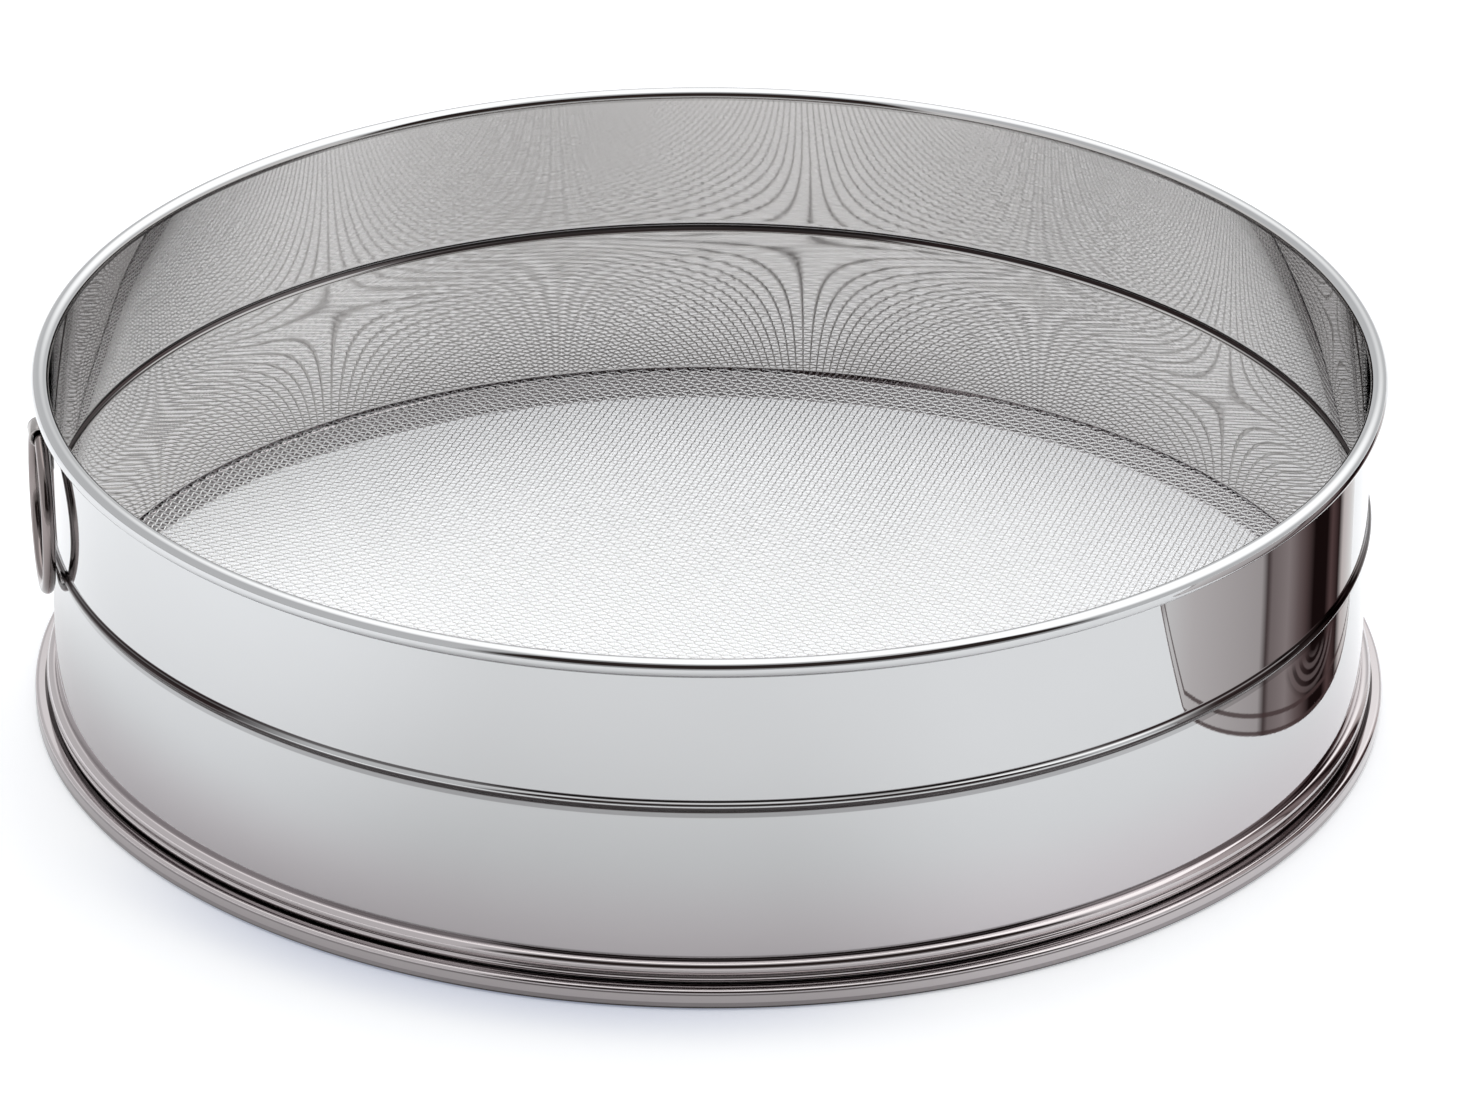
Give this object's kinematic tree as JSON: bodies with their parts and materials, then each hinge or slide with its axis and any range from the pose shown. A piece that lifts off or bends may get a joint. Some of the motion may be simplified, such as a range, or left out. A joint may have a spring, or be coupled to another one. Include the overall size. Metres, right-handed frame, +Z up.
{
  "type": "tamis drum sieve",
  "caption": "Round stainless steel drum sieve with a woven wire cloth across its lower edge, a rolled rim, a hemmed base ring and a hanging ring.",
  "frame": {"origin": "centre of the base, on the table", "axes": "+Z up along the hoop's axis, towards the rim; the hanging ring is at -X"},
  "size_m": [0.3027, 0.3026, 0.081],
  "materials": {
    "hoop_steel": "bright polished stainless sheet",
    "hidden_wire": "drawn steel wire, hidden",
    "band_steel": "polished stainless strip",
    "cloth_wire": "woven stainless wire",
    "base_steel": "polished stainless sheet",
    "clip_steel": "stainless strap",
    "ring_steel": "polished stainless wire"
  },
  "bodies": {
    "drum": {"hoop_wall": "hoop_steel", "rim_wire": "hidden_wire", "clamp_band": "band_steel", "mesh_warp_wires": "cloth_wire", "mesh_weft_wires": "cloth_wire", "base_ring": "base_steel", "hem_wire": "hidden_wire", "ring_clip": "clip_steel"},
    "hanging_ring": {"hanging_ring": "ring_steel"}
  },
  "joints": [
    {"name": "ring_swing", "type": "hinge", "parent": "drum", "child": "hanging_ring", "pos_m": [-0.14876, 0, 0.0723], "axis": [0, 1, 0], "range_deg": [-0.5, 157]}
  ]
}
